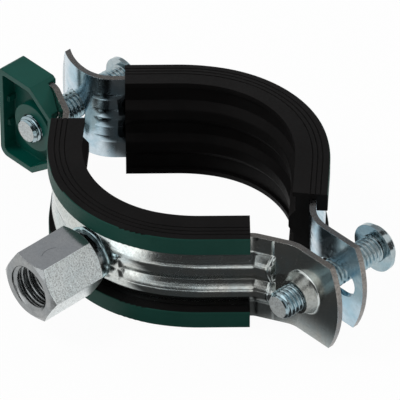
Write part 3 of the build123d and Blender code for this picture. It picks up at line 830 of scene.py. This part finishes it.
def seat_y(x, z):
    """The strip's outer face under the nut."""
    over = max(abs(z) - SEAT_HALF, 0.0)
    drop = SEAT_EDGE_R - math.sqrt(SEAT_EDGE_R ** 2 - min(over, SEAT_EDGE_REACH) ** 2)
    return -math.sqrt((SEAT_R - drop) ** 2 - x * x)


def weld_bead(name, around=96, ribs=12):
    """A lumpy tube round the foot of the neck."""
    verts, faces = [], []
    for i in range(around):
        a = 2 * math.pi * i / around
        lump = 1 + 0.16 * math.sin(11 * a) + 0.10 * math.sin(17 * a + 1.3)
        x, z = BEAD_R * math.cos(a), BEAD_R * math.sin(a)
        for j in range(ribs):
            b = 2 * math.pi * j / ribs
            out = BEAD_THICK * lump * math.cos(b)
            rise = BEAD_RISE * BEAD_THICK * lump * math.sin(b)
            verts.append((x + out * math.cos(a), seat_y(x, z) - rise, z + out * math.sin(a)))
    for i in range(around):
        for j in range(ribs):
            k, m = (i + 1) % around, (j + 1) % ribs
            faces.append((i * ribs + j, i * ribs + m, k * ribs + m, k * ribs + j))
    return mesh_object(name, verts, faces, [zinc_weld])


def weld_drop(name, x, z, size, steps=16):
    """A flattened drop of spatter on the seat."""
    verts, faces = [], []
    for i in range(steps // 2 + 1):
        t = math.pi * i / steps
        for j in range(steps):
            a = 2 * math.pi * j / steps
            r = size * math.sin(t) * (1 + 0.12 * math.sin(3 * a))
            dx, dz = r * math.cos(a), r * math.sin(a)
            y = seat_y(x + dx, z + dz) + DROP_SUNK - DROP_RISE * size * math.cos(t)
            verts.append((x + dx, y, z + dz))
    for i in range(steps // 2):
        for j in range(steps):
            k = (j + 1) % steps
            faces.append((i * steps + j, i * steps + k, (i + 1) * steps + k, (i + 1) * steps + j))
    return mesh_object(name, verts, faces, [zinc_weld])


print("seat under the nut at y", round(seat_y(0.0, 0.0) / MM, 2), "mm")

# %% Weld
for piece in (weld_bead("weld_bead"), weld_drop("weld_spatter", *DROP_PLACE, DROP_SIZE)):
    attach(piece, body_of("connection_nut"))
    print(piece.name, len(piece.data.polygons), "faces")

# %% [markdown]
# ## Floor and background
# The clamp lies on its rubber rims on a white sheet. A sheet that is only lit turns grey, and more light
# would wash out the object. So the sheet and the world shine white by themselves, but only for rays that
# come from the camera, from a mirror or through glass; rays that carry light to the object find a plain
# level. The sheet keeps a small share of its lit surface, so that the shadow still shows.

# %% Floor and background
FLOOR_SIDE = 6.0
FLOOR_COLOUR = (0.85, 0.85, 0.85)
FLOOR_GLOW = 0.96               # share of the sheet that shines by itself where it is seen
FLOOR_GAP = 0.02 * MM           # no face of the clamp lies in the sheet itself
WORLD_LIGHT = 0.45
WORLD_SEEN = 0.95
CLAMP_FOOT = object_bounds()[0].z


def seen_rays(tree):
    """1 for rays from the camera, from a mirror or through glass, and 0 for rays that carry light."""
    rays = node(tree, "ShaderNodeLightPath")
    seen = reckon(tree, "MAXIMUM", rays.outputs["Is Camera Ray"], rays.outputs["Is Glossy Ray"])
    return reckon(tree, "MAXIMUM", seen, rays.outputs["Is Transmission Ray"])


def sheet(name, centre, width, height, normal, mat):
    """A flat rectangle that belongs to the stage, not to the clamp."""
    w, h = width / 2, height / 2
    data = bpy.data.meshes.new(name)
    data.from_pydata([(-w, -h, 0), (w, -h, 0), (w, h, 0), (-w, h, 0)], [], [(0, 1, 2, 3)])
    data.materials.append(mat)
    obj = bpy.data.objects.new(name, data)
    scene.collection.objects.link(obj)
    obj.location = centre
    obj.rotation_mode = "QUATERNION"
    obj.rotation_quaternion = Vector(normal).to_track_quat("Z", "Y")
    obj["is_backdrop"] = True
    return obj


floor_mat, floor_tree, floor_shader = material("floor_white")
floor_shader.inputs["Base Color"].default_value = opaque(FLOOR_COLOUR)
floor_shader.inputs["Roughness"].default_value = 0.9
floor_shader.inputs["Specular IOR Level"].default_value = 0.0
glow = node(floor_tree, "ShaderNodeEmission", {"Color": (1, 1, 1, 1), "Strength": 1.0})
glow_share = reckon(floor_tree, "MULTIPLY", seen_rays(floor_tree), FLOOR_GLOW)
blend = node(floor_tree, "ShaderNodeMixShader",
             {"Fac": glow_share, 1: floor_shader.outputs["BSDF"], 2: glow.outputs["Emission"]})
floor_tree.links.new(blend.outputs["Shader"], floor_tree.nodes["Material Output"].inputs["Surface"])
sheet("floor", (0, 0, CLAMP_FOOT - FLOOR_GAP), FLOOR_SIDE, FLOOR_SIDE, (0, 0, 1), floor_mat)

world = bpy.data.worlds.new("world")
scene.world = world
sky_tree, sky_out = empty_tree(world, "ShaderNodeOutputWorld")
sky_strength = shift_range(sky_tree, seen_rays(sky_tree), (0.0, 1.0), (WORLD_LIGHT, WORLD_SEEN))
sky = node(sky_tree, "ShaderNodeBackground", {"Color": (1, 1, 1, 1), "Strength": sky_strength})
sky_tree.links.new(sky.outputs["Background"], sky_out.inputs["Surface"])
print("floor at", round(CLAMP_FOOT / MM, 3), "mm")

# %% [markdown]
# ## Cards for the metal to mirror
# Bright metal only looks like metal if there is something to mirror. A studio uses cards and windows, and
# lamps alone would give it a few hot points. So glossy rays meet a set of cards that no other ray sees:
# dark ones on the table in front of the strip and of the ears and inside the ring, a bright window over the
# nut, and grey and dark ones above and behind. The near card and the ring card paint into the mirrors the
# shade that the clamp casts on the sheet round its foot and inside the ring, which the sheet's glow hides
# from them, so they are painted shade. The far one is a plain dark base. Their soft edges give the beads
# their long gradients, and as they light nothing, the rubber and the plastic stay as they are.

# %% Cards
WHITE = (1, 1, 1)
CARD_DISTANCE = 0.6
CARD_GAP = 0.01 * MM            # the table's cards lie between the sheet and the clamp
TABLE_DARK = 0.05
# The near card and the ring card are painted shade: the clamp's shade on the sheet, shown in the mirrors.
# The far card is a dark base.
TABLE_CARDS = (                 # name, centre in X and Y, width and depth
    ("dark_table_near", 0.0285, -0.0340, 0.045, 0.064),
    ("dark_table_far", 0.122, -0.132, 0.184, 0.150),
    ("dark_table_ring", -0.010, -0.002, 0.040, 0.044),
)


def card(name, centre, width, height, strength, colour=WHITE, facing=None, soft=0.35):
    """A glowing or dark card for mirrors only; its edges fade out over the soft share."""
    mat = bpy.data.materials.new(name)
    tree, out = empty_tree(mat, "ShaderNodeOutputMaterial")
    place = node(tree, "ShaderNodeSeparateXYZ", {0: own_place(tree)})
    fades = []
    for axis, half in (("X", width / 2), ("Y", height / 2)):
        far = reckon(tree, "ABSOLUTE", place.outputs[axis])
        fades.append(shift_range(tree, far, (half, half * (1 - soft)), (0.0, 1.0), smooth=True))
    clear = node(tree, "ShaderNodeBsdfTransparent")
    shine = node(tree, "ShaderNodeEmission", {"Color": opaque(colour), "Strength": strength})
    face = node(tree, "ShaderNodeMixShader", {"Fac": reckon(tree, "MULTIPLY", *fades),
                                              1: clear.outputs["BSDF"], 2: shine.outputs["Emission"]})
    tree.links.new(face.outputs["Shader"], out.inputs["Surface"])
    obj = sheet(name, centre, width, height, facing or [-c for c in centre], mat)
    for kind in ("camera", "diffuse", "shadow", "transmission"):
        setattr(obj, "visible_" + kind, False)
    return obj


def towards(azimuth, elevation, distance=CARD_DISTANCE):
    """A point in a direction seen from the clamp: azimuth from the nut's side towards the hinge screw."""
    a, e = math.radians(azimuth), math.radians(elevation)
    flat = distance * math.cos(e)
    return (flat * math.sin(a), -flat * math.cos(a), distance * math.sin(e))


for name, x, y, width, depth in TABLE_CARDS:
    place = (x, y, CLAMP_FOOT - CARD_GAP)
    on_table = card(name, place, width, depth, TABLE_DARK, facing=(0, 0, 1), soft=0.3)
    on_table.rotation_quaternion = (1, 0, 0, 0)     # its width lies along X
card("dark_front", towards(38, 18, 0.55), width=0.48, height=1.20, strength=0.04, soft=0.2)
card("window_front", towards(-6, 8), width=0.32, height=0.62, strength=1.8, soft=0.2)
card("grey_side", towards(58, 4), width=0.26, height=0.50, strength=0.40, colour=(0.86, 1.0, 1.05))
card("dark_above", towards(-75, 62), width=0.50, height=0.36, strength=0.12)
card("grey_ceiling", towards(-133, 42), width=0.62, height=0.50, strength=0.34, colour=(0.97, 1.0, 1.03))
card("dark_behind", towards(128, 10), width=0.22, height=0.46, strength=0.05, soft=0.3)
card("dark_behind_above", towards(170, 54), width=0.26, height=0.20, strength=0.05, soft=0.3)
cards = [m.name for m in bpy.data.materials if m.name.startswith(("dark", "grey", "window"))]
print("cards:", ", ".join(cards))

# %% [markdown]
# ## Lamps
# A large key lamp to the front left models the forms, and a long one behind draws the far rims. They are
# kept out of mirrors, where the cards rule. Area lamps are chosen because their soft shadows suit a plain
# studio; a sun or a point would draw hard ones.

# %% Lamps


def lamp(name, place, size, power):
    """An area lamp aimed at the clamp, which mirrors don't see; power is in watts."""
    data = bpy.data.lights.new(name, "AREA")
    data.shape = "RECTANGLE"
    data.size, data.size_y = size
    data.energy = power
    obj = bpy.data.objects.new(name, data)
    scene.collection.objects.link(obj)
    obj.location = place
    obj.rotation_mode = "QUATERNION"
    obj.rotation_quaternion = Vector(place).to_track_quat("Z", "Y")
    obj.visible_glossy = False
    print("lamp", name, power, "W")


lamp("key", place=(-0.35, -0.45, 0.75), size=(0.35, 0.35), power=3.2)
lamp("rim", place=(0.35, 0.65, 0.45), size=(0.5, 0.2), power=1.6)

# %% [markdown]
# The dressed clamp has to fill the same box as the CAD model, because others build on that size. The last
# call prints the box of the dressed clamp.

print("finished", corners())
